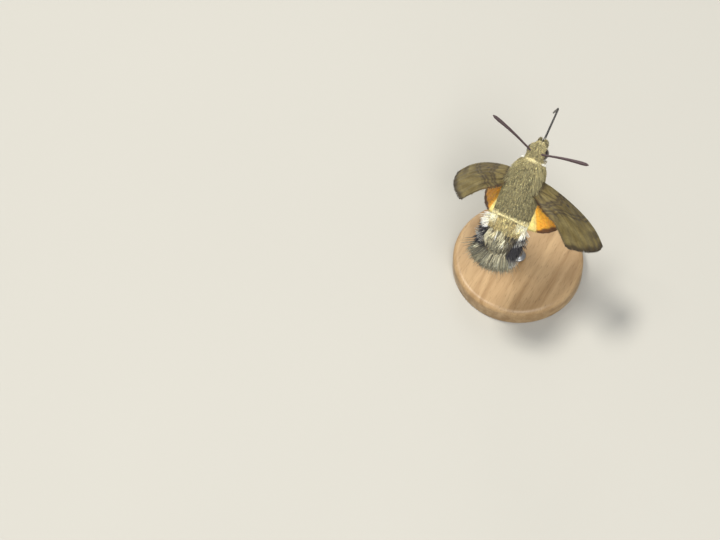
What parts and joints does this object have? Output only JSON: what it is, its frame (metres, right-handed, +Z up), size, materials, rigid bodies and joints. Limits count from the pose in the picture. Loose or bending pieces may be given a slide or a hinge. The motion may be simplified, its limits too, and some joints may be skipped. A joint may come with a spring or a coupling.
{
  "type": "hummingbird hawk moth",
  "caption": "Hovering hummingbird hawk moth, head up, with spread wings, a long bent proboscis and a fanned tail, held over a round base by a thin rod.",
  "frame": {"origin": "centre of the stand base's underside", "axes": "+Y the way the moth heads, +X the moth's right, +Z up"},
  "size_m": [0.036, 0.0392, 0.0491],
  "materials": {
    "body_fur": "dense short hair scales",
    "tail_scales": "long flat hair scales",
    "eye": "glossy",
    "antenna_scales": "fine matt scales",
    "proboscis": "satin",
    "forewing": "matt scales",
    "hindwing": "matt scales",
    "leg_scales": "fine matt scales",
    "stand_wood": "satin varnish",
    "stand_steel": "brushed"
  },
  "bodies": {
    "root": {"thorax": "body_fur", "head": "body_fur", "abdomen": "body_fur", "tail_fan": "tail_scales", "eye_right": "eye", "eye_left": "eye", "palp_right": "body_fur", "palp_left": "body_fur", "proboscis": "proboscis", "antenna_right": "antenna_scales", "antenna_left": "antenna_scales", "forewing_right": "forewing", "forewing_left": "forewing", "hindwing_right": "hindwing", "hindwing_left": "hindwing", "leg_front_right": "leg_scales", "leg_front_left": "leg_scales", "leg_middle_right": "leg_scales", "leg_middle_left": "leg_scales", "leg_hind_right": "leg_scales", "leg_hind_left": "leg_scales", "stand_base": "stand_wood", "stand_rod": "stand_steel"}
  },
  "joints": []
}
